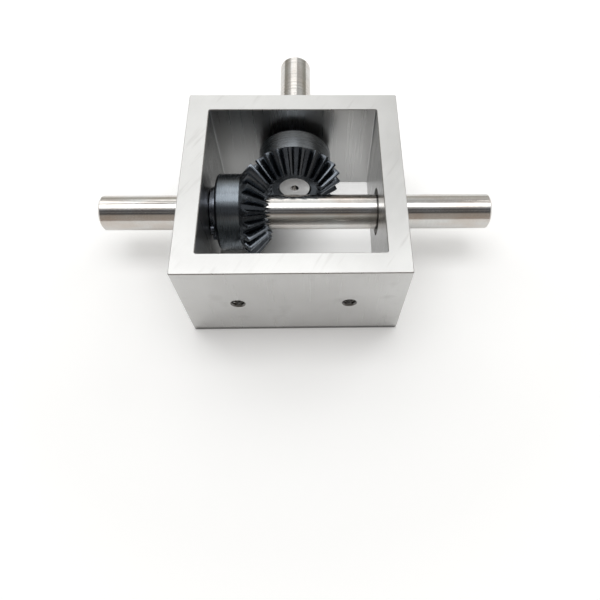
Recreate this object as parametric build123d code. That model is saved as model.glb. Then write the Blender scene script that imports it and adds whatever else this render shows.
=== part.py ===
from build123d import *
import math
import os

# Right angle bevel gearbox with an open square housing, one through shaft and one branch shaft.
# Origin: centre of the housing's front face, midway between its two tapped holes.
# X follows the through shaft, Y the branch shaft, which leaves the back wall, and Z is up.

# Shafts
shaft_d = 10.0
left_overhang = 25.5
right_overhang = 27.0
branch_overhang = 30.0
branch_end_gap = 3.8          # through shaft's surface to the branch shaft's inner end
shaft_end_chamfer = 0.5
centre_hole_d = 2.4
centre_hole_depth = 1.3

# Bevel gears, an equal pair at a ratio of one to one
module = 1.18
teeth = 22
pressure_angle = 20.0         # degrees
addendum_factor = 1.0         # in modules
dedendum_factor = 1.2
face_width = 7.8
backlash = 0.14               # taken off each tooth, along the pitch circle of the large end
mesh_lift = 4.4               # degrees that the meshing tooth stands above the plane of the shafts
gear_bore_gap = 0.02
hub_d = 22.0
hub_length = 6.7
hub_chamfer = 0.4
toe_rim = 1.6                 # flat ring round the bore, at the bottom of the toe's dish
root_relief = 0.05            # least depth of the root under the base circle
blank_rim = 2.0               # the turned blank stands this far beyond the pitch circle

# Grub screw that holds each hub
grub_d = 4.0
grub_length = 5.4
grub_hex = 2.0                # across flats
grub_hex_depth = 2.2
grub_point_chamfer = 0.6
grub_thread_gap = 0.03
grub_flat_depth = 0.3
grub_flat_length = 5.5
grub_seat_gap = 0.03

# Ball bearings
bearing_section = 2.5         # from bore to outside diameter, on one side
bearing_width = 4.0
ring_land = 0.75              # thickness of each ring beside its groove
ball_d = 1.5
ball_count = 11
race_gap = 0.05
cage_wall = 0.6
cage_width = 2.1
cage_pocket_gap = 0.05
shield_t = 0.25
shield_inset = 0.15
shield_gap = 0.15
bearing_fit_gap = 0.01

# Circlips
clip_t = 1.0
clip_groove_depth = 0.2
clip_side_gap = 0.1
clip_band = 2.1               # mean width of the band, measured from the bottom of the groove
clip_eccentricity = 0.5
clip_lug_r = 1.35
clip_lug_reach = 1.8          # shaft's surface to the centre of a lug
clip_lug_angle = 15.5         # degrees, each side of the gap
clip_hole_d = 1.4
clip_gap = 1.2
clip_fit_gap = 0.02
clip_tilt = 6.0               # degrees that the open side of the inner clips points below level

# Washer and bush on the shaft, on each side of the inner circlip
washer_wall = 3.0
washer_length = 0.95
bush_wall = 1.0
clip_wall_gap = 0.39          # inner circlip to the face of the wall
sleeve_gap = 0.02

# Housing
wall = 6.0
housing_height = 32.0
lip_t = 1.0                   # shoulder that the bearing is pressed against
lip_height = 0.6
clip_room = 1.0
corner_chamfer = 0.3
inner_corner_r = 0.5
edge_break = 0.2              # deburred edges of the milled top and bottom
hole_spacing = 30.0
tap_drill_d = 3.3
tap_chamfer = 0.4

cut_over = 1.0                # a cut runs this far past the face that it opens

# Gear geometry
shaft_r = shaft_d / 2
pitch_r = module * teeth / 2
pitch_cone_angle = math.pi / 4
cone_distance = pitch_r / math.sin(pitch_cone_angle)
back_cone_sum = pitch_r + pitch_r / math.tan(pitch_cone_angle)
toe_share = 1 - face_width / cone_distance
toe_cone_sum = back_cone_sum * toe_share
hub_start = back_cone_sum - hub_d / 2
mounting_distance = hub_start + hub_length

# Stations along a shaft, measured from the point where the two axes cross
clip_start = mounting_distance + washer_length
bush_start = clip_start + clip_t
inner_half = bush_start + clip_wall_gap
bearing_start = inner_half + lip_t
bearing_end = bearing_start + bearing_width
outer_half = inner_half + wall

grub_station = (hub_start + mounting_distance) / 2

bearing_od = shaft_d + 2 * bearing_section
ball_pitch_r = shaft_r + bearing_section / 2
inner_land_r = shaft_r + ring_land
outer_land_r = bearing_od / 2 - ring_land
clip_groove_r = shaft_r - clip_groove_depth

base = (Align.CENTER, Align.CENTER, Align.MIN)
apex = (0, outer_half, 0)
left_axis = Plane(origin=apex, x_dir=(0, 1, 0), z_dir=(-1, 0, 0)).location
right_axis = Plane(origin=apex, x_dir=(0, -1, 0), z_dir=(1, 0, 0)).location
rear_axis = Plane(origin=apex, x_dir=(1, 0, 0), z_dir=(0, 1, 0)).location
# On all three axes local Z points out of the housing and local Y points down.


def rod(radius, start, end):
    return Pos(0, 0, start) * Cylinder(radius, end - start, align=base)


def ring(outer_r, inner_r, start, end):
    return rod(outer_r, start, end) - rod(inner_r, start - cut_over, end + cut_over)


def housing():
    """Square tube with three stepped bearing seats and two tapped holes in the front wall."""
    outside = 2 * outer_half
    inside = 2 * inner_half
    block = Box(outside, outside, housing_height)
    block = chamfer(block.edges().filter_by(Axis.Z), corner_chamfer)
    block -= extrude(RectangleRounded(inside, inside, inner_corner_r), housing_height / 2, both=True)
    block = chamfer(block.faces().filter_by(Axis.Z).edges(), edge_break)
    block = Pos(apex) * block
    lip_r = bearing_od / 2 - lip_height
    clip_recess_r = shaft_r + clip_lug_reach + clip_lug_r + clip_room
    for axis in (left_axis, right_axis, rear_axis):
        block -= axis * rod(lip_r, inner_half - cut_over, bearing_start + cut_over)
        block -= axis * rod(bearing_od / 2, bearing_start, bearing_end + cut_over)
        block -= axis * rod(clip_recess_r, bearing_end, outer_half + cut_over)
    front = Plane(origin=apex, x_dir=(1, 0, 0), z_dir=(0, -1, 0)).location
    mouth_r = tap_drill_d / 2 + tap_chamfer
    for x in (-hole_spacing / 2, hole_spacing / 2):
        drilled = rod(tap_drill_d / 2, inner_half - cut_over, outer_half + cut_over)
        block -= front * Pos(x, 0, 0) * drilled
        mouth = Cone(tap_drill_d / 2, mouth_r, tap_chamfer, align=base)
        block -= front * Pos(x, 0, outer_half - tap_chamfer) * mouth
    return block


def shaft(start, end, grooves):
    """Ground bar with chamfered ends, centre holes, circlip grooves and a flat for the grub screw."""
    bar = rod(shaft_r, start, end)
    bar = chamfer(bar.edges().filter_by(GeomType.CIRCLE), shaft_end_chamfer)
    for groove in grooves:
        bar -= ring(shaft_r + cut_over, clip_groove_r, groove, groove + clip_t + clip_side_gap)
    bar -= Pos(0, 0, start) * Cone(centre_hole_d / 2, 0, centre_hole_depth, align=base)
    bar -= Pos(0, 0, end) * Rot(180, 0, 0) * Cone(centre_hole_d / 2, 0, centre_hole_depth, align=base)
    flat = Box(shaft_d, shaft_d, grub_flat_length)
    bar -= Pos(0, shaft_r - grub_flat_depth + shaft_d / 2, grub_station) * flat
    return bar


def involute(angle):
    return math.tan(angle) - angle


def flank_point(height, plane_distance, side, tooth_angle):
    """Point of a tooth flank at a height over the pitch cone, in a plane across the gear's axis.

    The tooth has the involute of the equivalent spur gear on the back cone, and every flank
    line runs to the point where the two shafts cross.
    """
    equivalent_r = pitch_r / math.cos(pitch_cone_angle)
    base_r = equivalent_r * math.cos(math.radians(pressure_angle))
    radius = max(equivalent_r + height, base_r)
    half_angle = (math.pi * module / 2 - backlash) / (2 * equivalent_r)
    half_angle += involute(math.radians(pressure_angle)) - involute(math.acos(base_r / radius))
    polar = tooth_angle + side * half_angle / math.cos(pitch_cone_angle)
    cone_angle = pitch_cone_angle + math.atan(height / cone_distance)
    r = plane_distance * math.tan(cone_angle)
    return (r * math.cos(polar), r * math.sin(polar))


def tooth_section(plane_distance, phase):
    """Closed outline of all the teeth in a plane across the gear's axis."""
    equivalent_r = pitch_r / math.cos(pitch_cone_angle)
    base_height = equivalent_r * (math.cos(math.radians(pressure_angle)) - 1)
    tip = addendum_factor * module
    root = min(-dedendum_factor * module, base_height - root_relief)
    pitch_angle = 2 * math.pi / teeth
    edges = []
    for i in range(teeth):
        tooth = math.radians(phase) + i * pitch_angle
        rise = [flank_point(h, plane_distance, -1, tooth) for h in (root, base_height, 0, tip)]
        fall = [flank_point(h, plane_distance, 1, tooth) for h in (tip, 0, base_height, root)]
        following = flank_point(root, plane_distance, -1, tooth + pitch_angle)
        edges += [
            Line(rise[0], rise[1]),
            ThreePointArc(rise[1], rise[2], rise[3]),
            Line(rise[3], fall[0]),
            ThreePointArc(fall[0], fall[1], fall[2]),
            Line(fall[2], fall[3]),
            Line(fall[3], following),
        ]
    return Pos(0, 0, plane_distance) * make_face(Wire(edges))


def gear_blank():
    """Turned blank of the toothed head: dished toe, clear outside, and 45 degree back cone."""
    toe_r = shaft_r + toe_rim
    rim_r = pitch_r + blank_rim
    outline = Polyline(
        (0, toe_cone_sum - toe_r),
        (toe_r, toe_cone_sum - toe_r),
        (pitch_r, toe_cone_sum - pitch_r),
        (rim_r, back_cone_sum - rim_r),
        (hub_d / 2, hub_start),
        (0, hub_start),
        close=True,
    )
    return revolve(Plane.XZ * make_face(outline), Axis.Z)


def gear(phase):
    """Straight bevel gear with its hub, its bore and the tapped hole of its grub screw."""
    before_toe = toe_share * hub_start / 2
    sections = [tooth_section(before_toe, phase), tooth_section(hub_start + cut_over, phase)]
    head = loft(sections, ruled=True) & gear_blank()
    hub = rod(hub_d / 2, hub_start, mounting_distance)
    hub = chamfer(hub.edges().filter_by(GeomType.CIRCLE).sort_by(Axis.Z)[-1], hub_chamfer)
    body = head + hub
    body -= rod(shaft_r + gear_bore_gap, 0, mounting_distance + cut_over)
    body -= Pos(0, 0, grub_station) * Rot(-90, 0, 0) * rod(grub_d / 2 + grub_thread_gap, 0, hub_d)
    return body


def grub_screw():
    """Hexagon socket set screw, standing on the shaft's flat inside the hub."""
    foot = shaft_r - grub_flat_depth + grub_seat_gap
    screw = rod(grub_d / 2, foot, foot + grub_length)
    screw = chamfer(screw.edges().filter_by(GeomType.CIRCLE).sort_by(Axis.Z)[0], grub_point_chamfer)
    socket = extrude(RegularPolygon(grub_hex / 2, 6, major_radius=False), grub_hex_depth)
    screw -= Pos(0, 0, foot + grub_length - grub_hex_depth) * socket
    return Pos(0, 0, grub_station) * Rot(-90, 0, 0) * screw


def circlip(start, gap_angle):
    """External retaining ring with an eccentric band and two lugs with holes."""
    inner_r = clip_groove_r + clip_fit_gap
    lug_distance = shaft_r + clip_lug_reach
    outline = Pos(-clip_eccentricity, 0) * Circle(clip_groove_r + clip_band)
    holes = []
    for side in (-1, 1):
        angle = math.radians(side * clip_lug_angle)
        place = Pos(lug_distance * math.cos(angle), lug_distance * math.sin(angle))
        outline += place * Circle(clip_lug_r)
        holes.append(place * Circle(clip_hole_d / 2))
    outline -= Circle(inner_r)
    outline -= Pos(lug_distance, 0) * Rectangle(2 * lug_distance, clip_gap)
    for hole in holes:
        outline -= hole
    return Pos(0, 0, start) * Rot(0, 0, gap_angle) * extrude(outline, clip_t)


def raceway():
    middle = (bearing_start + bearing_end) / 2
    return Pos(0, 0, middle) * Torus(ball_pitch_r, ball_d / 2 + race_gap)


def outer_ring():
    return ring(bearing_od / 2 - bearing_fit_gap, outer_land_r, bearing_start, bearing_end) - raceway()


def inner_ring():
    return ring(inner_land_r, shaft_r + bearing_fit_gap, bearing_start, bearing_end) - raceway()


def ball_places():
    middle = Pos(0, 0, (bearing_start + bearing_end) / 2)
    return [middle * place for place in PolarLocations(ball_pitch_r, ball_count)]


def balls():
    return Compound(children=[place * Sphere(ball_d / 2) for place in ball_places()])


def cage():
    """Ring with one round pocket drilled towards the axis for each ball."""
    middle = (bearing_start + bearing_end) / 2
    start = middle - cage_width / 2
    body = ring(ball_pitch_r + cage_wall / 2, ball_pitch_r - cage_wall / 2, start, start + cage_width)
    for place in ball_places():
        body -= place * Rot(0, 90, 0) * Cylinder(ball_d / 2 + cage_pocket_gap, 2 * cage_wall)
    return body


def shield(start):
    """Thin metal disc held in the outer ring, just clear of the inner ring."""
    return ring(outer_land_r, inner_land_r + shield_gap, start, start + shield_t)


def washer():
    return ring(shaft_r + washer_wall, shaft_r + sleeve_gap, mounting_distance, clip_start)


def bush():
    return ring(shaft_r + bush_wall, shaft_r + sleeve_gap, bush_start, bearing_start)


half_pitch = 180 / teeth
inner_clip_angle = 180 - clip_tilt

left_end = outer_half + left_overhang
right_end = outer_half + right_overhang
rear_end = outer_half + branch_overhang

parts = {"housing": housing()}

# The through shaft is drawn along the left axis, so its right end is on the negative side.
gear_side_grooves = [clip_start - clip_side_gap, bearing_end]
far_groove = -bearing_end - clip_t - clip_side_gap
parts["through_shaft"] = left_axis * shaft(-right_end, left_end, gear_side_grooves + [far_groove])
parts["branch_shaft"] = rear_axis * shaft(shaft_r + branch_end_gap, rear_end, gear_side_grooves)

# A space of the through gear and a tooth of the branch gear meet at the pitch line.
parts["through_gear"] = left_axis * gear(half_pitch - mesh_lift)
parts["branch_gear"] = rear_axis * gear(180 + mesh_lift)

for name, axis in (("through", left_axis), ("branch", rear_axis)):
    parts[name + "_grub_screw"] = axis * grub_screw()
    parts[name + "_inner_circlip"] = axis * circlip(clip_start, inner_clip_angle)
    parts[name + "_washer"] = axis * washer()
    parts[name + "_bush"] = axis * bush()

for name, axis in (("left", left_axis), ("right", right_axis), ("rear", rear_axis)):
    parts[name + "_outer_circlip"] = axis * circlip(bearing_end, 90)
    parts[name + "_bearing_outer_ring"] = axis * outer_ring()
    parts[name + "_bearing_inner_ring"] = axis * inner_ring()
    parts[name + "_bearing_balls"] = axis * balls()
    parts[name + "_bearing_cage"] = axis * cage()
    parts[name + "_bearing_inner_shield"] = axis * shield(bearing_start + shield_inset)
    parts[name + "_bearing_outer_shield"] = axis * shield(bearing_end - shield_inset - shield_t)

os.makedirs("parts", exist_ok=True)
for name, solid in parts.items():
    export_step(solid, f"parts/{name}.step")
    print(name, round(solid.volume, 3))
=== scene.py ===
import math

import bmesh
import bpy
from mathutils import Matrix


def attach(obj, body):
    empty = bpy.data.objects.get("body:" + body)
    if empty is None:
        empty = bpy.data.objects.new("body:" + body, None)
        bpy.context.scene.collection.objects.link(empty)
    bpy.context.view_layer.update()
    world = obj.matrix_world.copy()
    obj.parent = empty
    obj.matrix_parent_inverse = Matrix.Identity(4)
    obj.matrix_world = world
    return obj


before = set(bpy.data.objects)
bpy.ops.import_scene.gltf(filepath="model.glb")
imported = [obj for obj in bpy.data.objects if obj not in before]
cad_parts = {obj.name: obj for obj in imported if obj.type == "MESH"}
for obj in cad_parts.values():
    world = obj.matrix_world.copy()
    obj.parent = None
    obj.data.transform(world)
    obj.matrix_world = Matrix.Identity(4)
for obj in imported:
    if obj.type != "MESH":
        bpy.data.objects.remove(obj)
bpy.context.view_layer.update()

# The camera stands close above the front of the box and looks steeply down into it.
# Its lens is short, so the front wall looks wider than the back one.
camera_data = bpy.data.cameras.new("camera")
camera_data.sensor_width = 36
camera_data.lens = 31.533
camera_data.shift_x = -0.0411
camera_data.shift_y = 0.0217
camera_data.clip_start = 0.01
camera = bpy.data.objects.new("camera", camera_data)
camera.location = (0.004996, -0.063584, 0.126906)
camera.rotation_euler = [math.radians(angle) for angle in (25.533, -0.962, -1.072)]
bpy.context.scene.collection.objects.link(camera)
bpy.context.scene.camera = camera
bpy.context.scene.view_settings.view_transform = "Standard"


# The room is what the polished shafts mirror: a warm grey room low in front, a dark band where
# the camera and its stand are, and pale walls and ceiling behind. To the eye it is white. Each
# row has an angle, from level in front over the top to level behind, and the colour there.
def add_node(tree, kind, **settings):
    node = tree.nodes.new(kind)
    for name, value in settings.items():
        setattr(node, name, value)
    return node


def calculate(tree, operation, first, second=None):
    """One sum on sockets or numbers, named as Blender names it."""
    node = add_node(tree, "ShaderNodeMath", operation=operation)
    for socket, value in zip(node.inputs, (first, second)):
        if isinstance(value, (int, float)):
            socket.default_value = value
        elif value is not None:
            tree.links.new(value, socket)
    return node.outputs[0]


def colour_bands(tree, value, stops):
    node = add_node(tree, "ShaderNodeValToRGB")
    ramp = node.color_ramp
    while len(ramp.elements) < len(stops):
        ramp.elements.new(0.5)
    for element, (place, colour) in zip(ramp.elements, stops):
        element.position = place
        element.color = (*colour, 1)
    tree.links.new(value, node.inputs[0])
    return node.outputs[0]


room_over_the_table = (
    (0, (0.47, 0.42, 0.375)),
    (38, (0.40, 0.36, 0.325)),
    (44, (0.09, 0.09, 0.09)),
    (53, (0.09, 0.09, 0.095)),
    (56, (0.32, 0.31, 0.30)),
    (59, (0.11, 0.11, 0.115)),
    (72, (0.13, 0.13, 0.14)),
    (80, (0.70, 0.70, 0.70)),
    (101, (0.70, 0.70, 0.70)),
    (106, (0.55, 0.55, 0.54)),
    (121, (0.50, 0.50, 0.49)),
    (131, (0.50, 0.50, 0.49)),
    (141, (0.64, 0.64, 0.63)),
    (152, (0.70, 0.69, 0.66)),
    (160, (0.56, 0.55, 0.50)),
    (180, (0.56, 0.55, 0.50)),
)
room_to_the_sides = (
    (0.00, (1.0, 1.0, 1.0)),
    (0.40, (1.0, 1.0, 1.0)),
    (0.60, (0.72, 0.72, 0.72)),
    (1.00, (0.58, 0.58, 0.58)),
)
room = bpy.data.worlds.new("room")
room.use_nodes = True
bpy.context.scene.world = room
tree = room.node_tree
tree.nodes.clear()
direction = add_node(tree, "ShaderNodeTexCoord")
split = add_node(tree, "ShaderNodeSeparateXYZ")
tree.links.new(direction.outputs["Generated"], split.inputs[0])
to_front = calculate(tree, "MULTIPLY", split.outputs["Y"], -1)
height_angle = calculate(tree, "ARCTAN2", split.outputs["Z"], to_front)
over_the_top = calculate(tree, "DIVIDE", height_angle, math.pi)
bands = [(angle / 180, colour) for angle, colour in room_over_the_table]
sideways = calculate(tree, "ABSOLUTE", split.outputs["X"])
room_light = add_node(tree, "ShaderNodeBackground")
tree.links.new(colour_bands(tree, over_the_top, bands), room_light.inputs["Color"])
tree.links.new(colour_bands(tree, sideways, room_to_the_sides), room_light.inputs["Strength"])
white = add_node(tree, "ShaderNodeBackground")
white.inputs["Color"].default_value = (1, 1, 1, 1)
rays = add_node(tree, "ShaderNodeLightPath")
seen_or_mirrored = add_node(tree, "ShaderNodeMixShader")
tree.links.new(rays.outputs["Is Camera Ray"], seen_or_mirrored.inputs[0])
tree.links.new(room_light.outputs[0], seen_or_mirrored.inputs[1])
tree.links.new(white.outputs[0], seen_or_mirrored.inputs[2])
room_end = add_node(tree, "ShaderNodeOutputWorld")
tree.links.new(seen_or_mirrored.outputs[0], room_end.inputs[0])


# A long soft lamp hangs over the table, and two stand behind the box on the left and right.
# A dim one between them brightens the middle of the box, and a small one far back gives the
# thin light line along the shafts.
def hang_lamp(name, place, tilt, turn, width, depth, brightness):
    lamp_data = bpy.data.lights.new(name, "AREA")
    lamp_data.shape = "RECTANGLE"
    lamp_data.size = width
    lamp_data.size_y = depth
    lamp_data.energy = brightness * math.pi * width * depth
    lamp = bpy.data.objects.new(name, lamp_data)
    lamp.location = place
    lamp.rotation_euler = (math.radians(tilt), 0, math.radians(turn))
    bpy.context.scene.collection.objects.link(lamp)


hang_lamp("lamp_overhead", (-0.02, 0.12, 0.60), tilt=0, turn=0, width=0.62, depth=0.26, brightness=2.8)
hang_lamp("lamp_left_rear", (-0.38, 0.39, 0.46), tilt=-47, turn=45, width=0.30, depth=0.30, brightness=1.6)
hang_lamp("lamp_right_rear", (0.43, 0.39, 0.46), tilt=-47, turn=-50, width=0.30, depth=0.30, brightness=1.7)
hang_lamp("lamp_behind", (-0.05, 0.40, 0.60), tilt=-32, turn=0, width=0.30, depth=0.50, brightness=0.6)
hang_lamp("lamp_far_back", (-0.09, 0.68, 0.46), tilt=-55, turn=8, width=0.40, depth=0.17, brightness=1.0)

# The table is a white sheet that fades into the white room, with soft shadows under the shafts.
# Inside the box it glows a little as painted light, more on its right side, because the walls keep
# most of the light off it; next to the left wall under the hub that glow is left out, as painted
# shade. The front edge of the box stands on a thin painted shadow.
table_top = -0.016
table_half = 1.5
sheet_colour = (0.90, 0.90, 0.895)
painted_shadow_colour = (0.20, 0.20, 0.20)
painted_shadow_strength = 0.85
lift_colour = (1, 1, 0.99, 1)
box_middle = (0, 0.03, table_top)
near_box = 0.09
near_lift = 0.25
far_from_box = 0.45
far_lift = 0.95
mirrored_near = 0.06
mirrored_far = 0.20
mirrored_far_share = 0.55
seen_inside_painted_light = 0.55
mirrored_side_painted_light = 0.20
mirrored_floor_painted_light = 0.18
corners = [
    (-table_half, -table_half, table_top),
    (table_half, -table_half, table_top),
    (table_half, table_half, table_top),
    (-table_half, table_half, table_top),
]
table_mesh = bpy.data.meshes.new("table")
table_mesh.from_pydata(corners, [], [(0, 1, 2, 3)])
table = bpy.data.objects.new("table", table_mesh)
bpy.context.scene.collection.objects.link(table)
paper = bpy.data.materials.new("white_table")
paper.use_nodes = True
tree = paper.node_tree
tree.nodes.clear()
on_table = add_node(tree, "ShaderNodeTexCoord").outputs["Object"]
across_table = add_node(tree, "ShaderNodeSeparateXYZ")
tree.links.new(on_table, across_table.inputs[0])


def times(tree, first, second):
    return calculate(tree, "MULTIPLY", first, second)


def opposite(tree, value):
    return calculate(tree, "SUBTRACT", 1, value)


def between(tree, value, low, high, start=0.3, end=0.7):
    """Low where the value is at the start, high at the end, and even steps from one to the other."""
    node = add_node(tree, "ShaderNodeMapRange")
    for socket, number in zip(node.inputs[1:5], (start, end, low, high)):
        socket.default_value = number
    tree.links.new(value, node.inputs[0])
    return node.outputs[0]


def blend(tree, share, first, second, kind="RGBA"):
    """Mixes two colours or, with the kind FLOAT, two numbers."""
    node = add_node(tree, "ShaderNodeMix", data_type=kind)
    first_socket = 6 if kind == "RGBA" else 2
    tree.links.new(share, node.inputs[0])
    for socket, value in zip(node.inputs[first_socket:first_socket + 2], (first, second)):
        if isinstance(value, tuple):
            socket.default_value = (*value, 1)
        elif isinstance(value, (int, float)):
            socket.default_value = value
        else:
            tree.links.new(value, socket)
    return node.outputs[2 if kind == "RGBA" else 0]


def step_along(axis, start, end):
    """0 before the start and 1 past the end, in metres along an axis of the table."""
    node = add_node(paper.node_tree, "ShaderNodeMapRange", interpolation_type="SMOOTHSTEP")
    node.inputs[1].default_value = start
    node.inputs[2].default_value = end
    paper.node_tree.links.new(across_table.outputs[axis], node.inputs[0])
    return node.outputs[0]


def area(left, right, front, back):
    """1 in an area of the table and 0 around it, each side with a soft edge from start to end."""
    from_side_to_side = times(paper.node_tree, step_along("X", *left), step_along("X", *right))
    from_front_to_back = times(paper.node_tree, step_along("Y", *front), step_along("Y", *back))
    return times(paper.node_tree, from_side_to_side, from_front_to_back)


in_box = area((-0.028, -0.024), (0.028, 0.024), (0.002, 0.006), (0.058, 0.054))
# Painted shadow: a thin dark line on the table under the front edge of the box, where the glow is also left
# out.
front_painted_shadow = area((-0.0301, -0.0292), (0.0301, 0.0292), (-0.0005, -0.0001), (0.003, 0.001))
front_painted_shadow = times(tree, front_painted_shadow, painted_shadow_strength)
# Painted shade: next to the left wall, under the hub, the glow inside the box is left out.
beside_left_wall = times(tree, step_along("X", -0.0235, -0.0215), step_along("X", -0.002, -0.008))
painted_shade_under_left_hub = times(tree, beside_left_wall, step_along("Y", 0.034, 0.026))
painted_light_side = step_along("X", -0.014, 0.016)
from_box = add_node(tree, "ShaderNodeVectorMath", operation="DISTANCE")
from_box.inputs[1].default_value = box_middle
tree.links.new(on_table, from_box.inputs[0])
distance = from_box.outputs["Value"]
rays = add_node(tree, "ShaderNodeLightPath")
seen = rays.outputs["Is Camera Ray"]
mirrored = rays.outputs["Is Glossy Ray"]

lift_around = between(tree, distance, near_lift, far_lift, near_box, far_from_box)
lift_around = times(tree, lift_around, opposite(tree, in_box))
lift_around = times(tree, lift_around, opposite(tree, front_painted_shadow))
mirrored_share = between(tree, distance, 1, mirrored_far_share, mirrored_near, mirrored_far)
mirrored_around = times(tree, mirrored, mirrored_share)
lift_around = times(tree, lift_around, calculate(tree, "ADD", seen, mirrored_around))

# Painted light: inside the box the table glows, more on its right side, for the camera and for reflections.
seen_painted_light_inside = times(tree, seen, times(tree, painted_light_side, seen_inside_painted_light))
box_floor_outside_painted_shade = times(tree, in_box, opposite(tree, painted_shade_under_left_hub))
mirrored_painted_light_side = times(tree, painted_light_side, mirrored_side_painted_light)
mirrored_painted_light_floor = times(tree, box_floor_outside_painted_shade, mirrored_floor_painted_light)
mirrored_painted_light_inside = times(tree, mirrored, calculate(tree, "ADD", mirrored_painted_light_side, mirrored_painted_light_floor))
painted_light_inside = times(tree, in_box, calculate(tree, "ADD", seen_painted_light_inside, mirrored_painted_light_inside))

matt = add_node(tree, "ShaderNodeBsdfDiffuse")
tree.links.new(blend(tree, front_painted_shadow, sheet_colour, painted_shadow_colour), matt.inputs["Color"])
lift = add_node(tree, "ShaderNodeEmission")
lift.inputs["Color"].default_value = lift_colour
tree.links.new(calculate(tree, "ADD", lift_around, painted_light_inside), lift.inputs["Strength"])
matt_and_lift = add_node(tree, "ShaderNodeAddShader")
tree.links.new(matt.outputs[0], matt_and_lift.inputs[0])
tree.links.new(lift.outputs[0], matt_and_lift.inputs[1])
sheet_end = add_node(tree, "ShaderNodeOutputMaterial")
tree.links.new(matt_and_lift.outputs[0], sheet_end.inputs[0])
table_mesh.materials.append(paper)


# The housing is a length of square aluminium tube, milled square at both ends and bored for the
# three bearings. It is bare metal: the milled ends are the brightest, with a few fine scratches,
# and the walls keep the lines of drawing that run along the tube, with some handling marks.
def new_metal(name, roughness):
    material = bpy.data.materials.new(name)
    material.use_nodes = True
    shader = material.node_tree.nodes["Principled BSDF"]
    shader.inputs["Base Color"].default_value = (0.6, 0.6, 0.6, 1)
    shader.inputs["Metallic"].default_value = 1
    shader.inputs["Roughness"].default_value = roughness
    return material, material.node_tree, shader


def place_on_part(tree, lines_per_metre=(1, 1, 1), turn=(0, 0, 0)):
    """Position on the part, turned and then stretched by its own number along X, Y and Z."""
    mapping = add_node(tree, "ShaderNodeMapping", vector_type="TEXTURE")
    mapping.inputs["Rotation"].default_value = turn
    tree.links.new(add_node(tree, "ShaderNodeTexCoord").outputs["Object"], mapping.inputs[0])
    stretch = add_node(tree, "ShaderNodeVectorMath", operation="MULTIPLY")
    stretch.inputs[1].default_value = lines_per_metre
    tree.links.new(mapping.outputs[0], stretch.inputs[0])
    return stretch.outputs[0]


def streaks(tree, lines_per_metre, detail=3, turn=(0, 0, 0)):
    """Noise that is drawn out along the axis that has the fewest lines per metre."""
    noise = add_node(tree, "ShaderNodeTexNoise")
    noise.inputs["Scale"].default_value = 1
    noise.inputs["Detail"].default_value = detail
    tree.links.new(place_on_part(tree, lines_per_metre, turn), noise.inputs["Vector"])
    return noise.outputs["Fac"]


def relief(tree, height, depth):
    bump = add_node(tree, "ShaderNodeBump")
    bump.inputs["Distance"].default_value = depth
    tree.links.new(height, bump.inputs["Height"])
    return bump.outputs["Normal"]


def faces_along(tree, axis, least=0.9):
    """1 where the surface faces along an axis of the part, either way, and 0 elsewhere."""
    facing = add_node(tree, "ShaderNodeSeparateXYZ")
    tree.links.new(add_node(tree, "ShaderNodeTexCoord").outputs["Normal"], facing.inputs[0])
    return calculate(tree, "GREATER_THAN", calculate(tree, "ABSOLUTE", facing.outputs[axis]), least)


def distance_from(tree, axis, middle):
    split = add_node(tree, "ShaderNodeSeparateXYZ")
    tree.links.new(place_on_part(tree), split.inputs[0])
    return calculate(tree, "ABSOLUTE", calculate(tree, "SUBTRACT", split.outputs[axis], middle))


def paint(material, *names):
    for name in names:
        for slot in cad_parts[name].material_slots:
            slot.material = material


box_centre_y = 0.03
inside_half = 0.0245
hole_x = 0.015
hole_mouth_r = 0.0022
least_of_filed_edge = 0.4
walls_colour = (0.60, 0.60, 0.592)
walls_handled = (0.53, 0.525, 0.515)
inside_painted_shade = (0.545, 0.545, 0.54)
ends_colour = (0.645, 0.645, 0.637)
ends_dull = (0.58, 0.58, 0.573)
smudge_colour = (0.42, 0.41, 0.40)
filed_colour = (0.45, 0.445, 0.44)
hole_painted_shade = (0.16, 0.155, 0.15)
cloud_lines = (60, 60, 45)
smudge_lines = (130, 130, 170)
smudge_strength = 0.36
drawing_lines = (2400, 2400, 26)
milling_lines = (3000, 220, 220)
scratch_lines = (600, 60, 60)
scratch_turn = (0, 0, math.radians(-31))
scratch_strength = 0.36
finish_depth = 0.0000028

aluminium, tree, shader = new_metal("bare_aluminium", 0.33)
tube_end = faces_along(tree, "Z")
slopes_up = faces_along(tree, "Z", least_of_filed_edge)
filed_edge = times(tree, slopes_up, opposite(tree, tube_end))
inside = times(
    tree,
    calculate(tree, "LESS_THAN", distance_from(tree, "X", 0), inside_half),
    calculate(tree, "LESS_THAN", distance_from(tree, "Y", box_centre_y), inside_half),
)
past_hole = calculate(tree, "SUBTRACT", distance_from(tree, "X", 0), hole_x)
near_hole = times(
    tree,
    calculate(tree, "LESS_THAN", calculate(tree, "ABSOLUTE", past_hole), hole_mouth_r),
    calculate(tree, "LESS_THAN", distance_from(tree, "Z", 0), hole_mouth_r),
)
shaded_hole_wall = times(tree, near_hole, opposite(tree, faces_along(tree, "Y")))
cloud = streaks(tree, cloud_lines, detail=5)
smudge = between(tree, streaks(tree, smudge_lines, detail=4), 0, smudge_strength, 0.58, 0.72)
drawn = streaks(tree, drawing_lines)
milled = streaks(tree, milling_lines, turn=scratch_turn)
scratched = between(tree, streaks(tree, scratch_lines, turn=scratch_turn), 0, 1, 0.60, 0.74)
walls = blend(tree, between(tree, cloud, 0, 1), walls_handled, walls_colour)
walls = blend(tree, smudge, walls, smudge_colour)
# Painted shade: the inner walls of the tube are painted darker than the outer walls.
walls = blend(tree, inside, walls, inside_painted_shade)
walls = blend(tree, filed_edge, walls, filed_colour)
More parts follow.
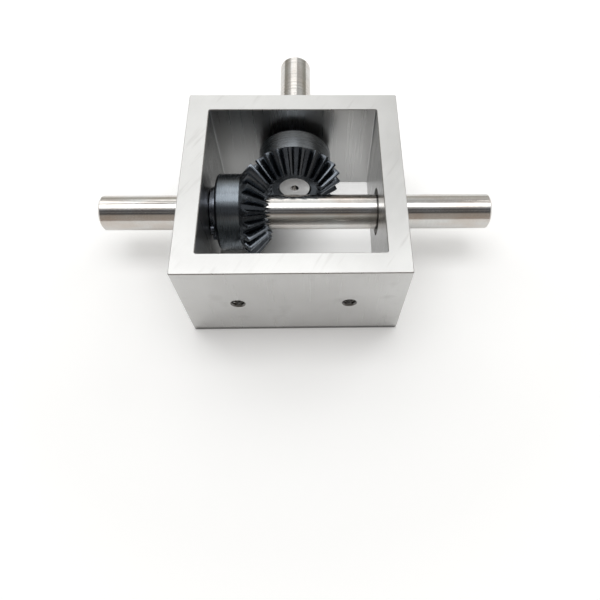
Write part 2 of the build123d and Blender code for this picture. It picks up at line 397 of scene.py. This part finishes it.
# Painted shade: the bores and chamfers of the two front holes are painted dark.
walls = blend(tree, shaded_hole_wall, walls, hole_painted_shade)
ends = blend(tree, between(tree, cloud, 0, 1), ends_dull, ends_colour)
ends = blend(tree, times(tree, scratched, scratch_strength), ends, smudge_colour)
tree.links.new(blend(tree, tube_end, walls, ends), shader.inputs["Base Color"])
walls_roughness = between(tree, drawn, 0.26, 0.35)
ends_roughness = between(tree, milled, 0.34, 0.44)
roughness = blend(tree, tube_end, walls_roughness, ends_roughness, "FLOAT")
tree.links.new(roughness, shader.inputs["Roughness"])
height = blend(tree, tube_end, drawn, calculate(tree, "SUBTRACT", milled, scratched), "FLOAT")
tree.links.new(relief(tree, height, finish_depth), shader.inputs["Normal"])
paint(aluminium, "housing")

# The two holes in the front wall are tapped M4 right through it. Their thread is cut in the
# aluminium, and its crests stand in the drilled bore as one ridge that winds inwards. The ridge
# is painted much darker than the aluminium, as painted shade in the holes.
wall_thickness = 0.006
thread_pitch = 0.0007
first_turn_depth = 0.0007
plain_length = 0.0011
bore_r = 0.00166
crest_r = 0.00146
ridge_half_width = 0.00030
steps_per_turn = 40
thread_shaded_dark = (0.22, 0.22, 0.21)
thread_shaded_light = (0.42, 0.42, 0.41)


def thread_ridge(name, x):
    bm = bmesh.new()
    turns = (wall_thickness - plain_length) / thread_pitch
    rows = []
    for step in range(int(turns * steps_per_turn) + 1):
        angle = 2 * math.pi * step / steps_per_turn
        depth = first_turn_depth + thread_pitch * step / steps_per_turn
        row = []
        for r, shift in ((bore_r, -ridge_half_width), (crest_r, 0), (bore_r, ridge_half_width)):
            place = (x + r * math.cos(angle), depth + shift, r * math.sin(angle))
            row.append(bm.verts.new(place))
        rows.append(row)
    for row, following in zip(rows, rows[1:]):
        for k in range(3):
            bm.faces.new((row[k], row[(k + 1) % 3], following[(k + 1) % 3], following[k]))
    bm.faces.new(rows[0][::-1])
    bm.faces.new(rows[-1])
    bmesh.ops.recalc_face_normals(bm, faces=bm.faces)
    mesh = bpy.data.meshes.new(name)
    bm.to_mesh(mesh)
    bm.free()
    return mesh


# Painted shade: the thread ridge is painted dark grey, darker than the aluminium it is cut in.
shaded_thread_metal, tree, shader = new_metal("shaded_cut_thread", 0.25)
grain = between(tree, streaks(tree, (1500, 1500, 1500)), 0, 1)
tree.links.new(blend(tree, grain, thread_shaded_dark, thread_shaded_light), shader.inputs["Base Color"])
for name, x in (("left_hole_thread", -hole_x), ("right_hole_thread", hole_x)):
    piece = bpy.data.objects.new(name, thread_ridge(name, x))
    bpy.context.scene.collection.objects.link(piece)
    piece.data.materials.append(shaded_thread_metal)
    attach(piece, "housing")

# Both shafts are centreless ground stainless bars with chamfered ends and small centre holes.
# Grinding leaves fine lines round them, and handling leaves faint warm stains. Their outer ends
# are sawn and dull, and the branch shaft's inner end is faced and painted near white, brighter
# than steel, as painted light.
steel_cool = (0.63, 0.625, 0.61)
steel_warm = (0.58, 0.535, 0.495)
ring_grey = (0.42, 0.405, 0.385)
faced_painted_bright = (0.95, 0.95, 0.95)
faced_painted_dull = (0.82, 0.82, 0.825)
sawn_bright = (0.60, 0.60, 0.595)
sawn_dull = (0.50, 0.50, 0.495)
mark_colour = (0.38, 0.37, 0.36)
mark_least_r = 0.0007
mark_most_r = 0.0015
end_roughness = 0.4
shaft_crossing = (0, 0.03, 0)
gears_reach = 0.02


def ground_steel(name, axis, middle, ring_lines, ring_bands, stain_lines, ring_depth, ring_share):
    material, tree, shader = new_metal(name, 0.16)
    shaft_end = faces_along(tree, axis)
    across_shaft = place_on_part(tree, [axis != letter for letter in "XYZ"])
    from_middle = add_node(tree, "ShaderNodeVectorMath", operation="DISTANCE")
    from_middle.inputs[1].default_value = middle
    tree.links.new(across_shaft, from_middle.inputs[0])
    mark_edge = between(tree, streaks(tree, (1500, 1500, 1500), 4), mark_least_r, mark_most_r)
    centre_mark = calculate(tree, "LESS_THAN", from_middle.outputs["Value"], mark_edge)
    stains = between(tree, streaks(tree, stain_lines, detail=6), 0, 1, 0.40, 0.66)
    fine = streaks(tree, ring_lines, detail=2)
    coarse = streaks(tree, ring_bands, detail=3)
    side = blend(tree, stains, steel_cool, steel_warm)
    side = blend(tree, between(tree, coarse, 0, ring_share, 0.35, 0.65), side, ring_grey)
    cloud = between(tree, streaks(tree, (500, 500, 500), 6), 0, 1)
    along = distance_from(tree, axis, shaft_crossing["XYZ".index(axis)])
    outer_end = calculate(tree, "GREATER_THAN", along, gears_reach)
    # Painted light: the faced inner end is painted near white, brighter than steel, with dull patches at
    # random.
    faced_painted_light = blend(tree, cloud, faced_painted_dull, faced_painted_bright)
    sawn = blend(tree, cloud, sawn_dull, sawn_bright)
    face = blend(tree, outer_end, faced_painted_light, sawn)
    face = blend(tree, centre_mark, face, mark_colour)
    tree.links.new(blend(tree, shaft_end, side, face), shader.inputs["Base Color"])
    side_roughness = between(tree, coarse, 0.11, 0.20)
    roughness = blend(tree, shaft_end, side_roughness, end_roughness, "FLOAT")
    tree.links.new(roughness, shader.inputs["Roughness"])
    rings = calculate(tree, "ADD", fine, coarse)
    tree.links.new(relief(tree, rings, ring_depth), shader.inputs["Normal"])
    return material


through_steel = ground_steel(
    "ground_steel_through",
    axis="X",
    middle=(0, 0.03, 0),
    ring_lines=(6500, 60, 60),
    ring_bands=(2200, 40, 40),
    stain_lines=(110, 260, 260),
    ring_depth=0.000003,
    ring_share=0.15,
)
branch_steel = ground_steel(
    "ground_steel_branch",
    axis="Y",
    middle=(0, 0, 0),
    ring_lines=(60, 4500, 60),
    ring_bands=(40, 1300, 40),
    stain_lines=(260, 110, 260),
    ring_depth=0.000010,
    ring_share=0.50,
)
paint(through_steel, "through_shaft")
paint(branch_steel, "branch_shaft")

# The two bevel gears are turned and planed from steel and blackened. The blacking is thin, so
# steel shows along the edges of the teeth, and the hubs keep the fine lines of the lathe.
black_light = (0.142, 0.158, 0.178)
black_deep = (0.106, 0.119, 0.136)
worn_edge = (0.34, 0.35, 0.37)
rubbed_edge = (0.20, 0.21, 0.225)
edge_width = 0.00006
hub_rim_painted_shade = (0.035, 0.040, 0.048)
hub_start = 0.01496
painted_rim_shade_start = 0.02100
lathe_lines_depth = 0.0000008


def blackened_steel(name, axis, turned_lines, hub_light, hub_deep):
    material, tree, shader = new_metal(name, 0.3)
    turned = streaks(tree, turned_lines, detail=2)
    smudge = streaks(tree, (350, 350, 350), detail=2)
    along = distance_from(tree, axis, shaft_crossing["XYZ".index(axis)])
    on_hub = calculate(tree, "GREATER_THAN", along, hub_start)
    on_painted_rim_shade = calculate(tree, "GREATER_THAN", along, painted_rim_shade_start)
    teeth = blend(tree, between(tree, smudge, 0, 1), black_deep, black_light)
    hub = blend(tree, between(tree, smudge, 0, 1), hub_deep, hub_light)
    # Painted shade: the back end of each hub, from 21 mm along its shaft, is painted nearly black.
    hub = blend(tree, on_painted_rim_shade, hub, hub_rim_painted_shade)
    tree.links.new(blend(tree, on_hub, teeth, hub), shader.inputs["Base Color"])
    hub_roughness = between(tree, turned, 0.25, 0.30)
    tooth_roughness = between(tree, smudge, 0.25, 0.29)
    roughness = blend(tree, on_hub, tooth_roughness, hub_roughness, "FLOAT")
    tree.links.new(roughness, shader.inputs["Roughness"])
    lathe_lines = times(tree, turned, on_hub)
    tree.links.new(relief(tree, lathe_lines, lathe_lines_depth), shader.inputs["Normal"])
    round_hub = add_node(tree, "ShaderNodeTangent", direction_type="RADIAL", axis=axis)
    tree.links.new(round_hub.outputs[0], shader.inputs["Tangent"])
    shader.inputs["Anisotropic"].default_value = 0.8
    shader.inputs["Anisotropic Rotation"].default_value = 0.25
    return material


worn, tree, shader = new_metal("worn_edges", 0.32)
wear = between(tree, streaks(tree, (300, 300, 300), detail=2), 0, 1)
tree.links.new(blend(tree, wear, rubbed_edge, worn_edge), shader.inputs["Base Color"])


def wear_edges(name):
    """Rounds the sharp edges of a gear a little and paints the rounding as bare steel."""
    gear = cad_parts[name]
    gear.data.materials.append(worn)
    weld = gear.modifiers.new("join_faces", "WELD")
    weld.merge_threshold = 0.000001
    flat = gear.modifiers.new("merge_flat_faces", "DECIMATE")
    flat.decimate_type = "DISSOLVE"
    flat.angle_limit = math.radians(0.5)
    bevel = gear.modifiers.new("worn_edges", "BEVEL")
    bevel.limit_method = "ANGLE"
    bevel.angle_limit = math.radians(38)
    bevel.width = edge_width
    bevel.segments = 1
    bevel.material = 1


# Painted highlight: the branch gear's hub is painted lighter than the through gear's hub, to brighten the
# rear hub.
for gear_name, axis, turned_lines, hub_light, hub_deep in (
    ("through_gear", "X", (6000, 60, 60), (0.222, 0.248, 0.276), (0.190, 0.215, 0.242)),
    ("branch_gear", "Y", (60, 6000, 60), (0.33, 0.36, 0.39), (0.29, 0.32, 0.35)),
):
    blackened = blackened_steel("blackened_" + gear_name, axis, turned_lines, hub_light, hub_deep)
    paint(blackened, gear_name)
    wear_edges(gear_name)

# The washers, bushes, circlips and grub screws are small blackened parts, and glossier than
# the gears. The circlips are stamped from spring steel, so their faces are slightly rough.
fine_black = (0.080, 0.089, 0.107)
fine_grey = (0.135, 0.146, 0.168)
grain_depth = 0.0000006


def small_black(name, least_rough, most_rough, grain_per_metre):
    material, tree, shader = new_metal(name, 0.25)
    grain = streaks(tree, [grain_per_metre] * 3, detail=2)
    shade = blend(tree, between(tree, grain, 0, 1), fine_black, fine_grey)
    tree.links.new(shade, shader.inputs["Base Color"])
    tree.links.new(between(tree, grain, least_rough, most_rough), shader.inputs["Roughness"])
    tree.links.new(relief(tree, grain, grain_depth), shader.inputs["Normal"])
    return material


glossy_black = small_black("glossy_black", 0.16, 0.22, 1800)
spring_black = small_black("spring_black", 0.24, 0.32, 1400)
for line in ("through", "branch"):
    paint(glossy_black, line + "_washer", line + "_bush", line + "_grub_screw")
    paint(spring_black, line + "_inner_circlip")
for place in ("left", "right", "rear"):
    paint(spring_black, place + "_outer_circlip")

# The ball bearings have ground rings, polished balls, a pressed cage, and shields pressed from
# bright sheet. Each steel has a fine grain of its own, smoothest on the balls.
polish_depth = 0.000002


def bearing_steel(name, bright, dark, least_rough, most_rough, grain_per_metre):
    material, tree, shader = new_metal(name, 0.2)
    grain = streaks(tree, [grain_per_metre] * 3)
    shade = blend(tree, between(tree, grain, 0, 1), dark, bright)
    tree.links.new(shade, shader.inputs["Base Color"])
    tree.links.new(between(tree, grain, least_rough, most_rough), shader.inputs["Roughness"])
    tree.links.new(relief(tree, grain, polish_depth), shader.inputs["Normal"])
    return material


ring_steel = bearing_steel("ring_steel", (0.62, 0.62, 0.61), (0.54, 0.54, 0.53), 0.12, 0.22, 900)
ball_steel = bearing_steel("ball_steel", (0.72, 0.72, 0.72), (0.68, 0.68, 0.68), 0.04, 0.08, 300)
cage_steel = bearing_steel("cage_steel", (0.55, 0.53, 0.50), (0.47, 0.45, 0.42), 0.28, 0.40, 700)
shield_steel = bearing_steel("shield_steel", (0.66, 0.66, 0.65), (0.58, 0.58, 0.57), 0.18, 0.30, 1200)
for place in ("left", "right", "rear"):
    paint(ring_steel, place + "_bearing_outer_ring", place + "_bearing_inner_ring")
    paint(ball_steel, place + "_bearing_balls")
    paint(cage_steel, place + "_bearing_cage")
    paint(shield_steel, place + "_bearing_inner_shield", place + "_bearing_outer_shield")
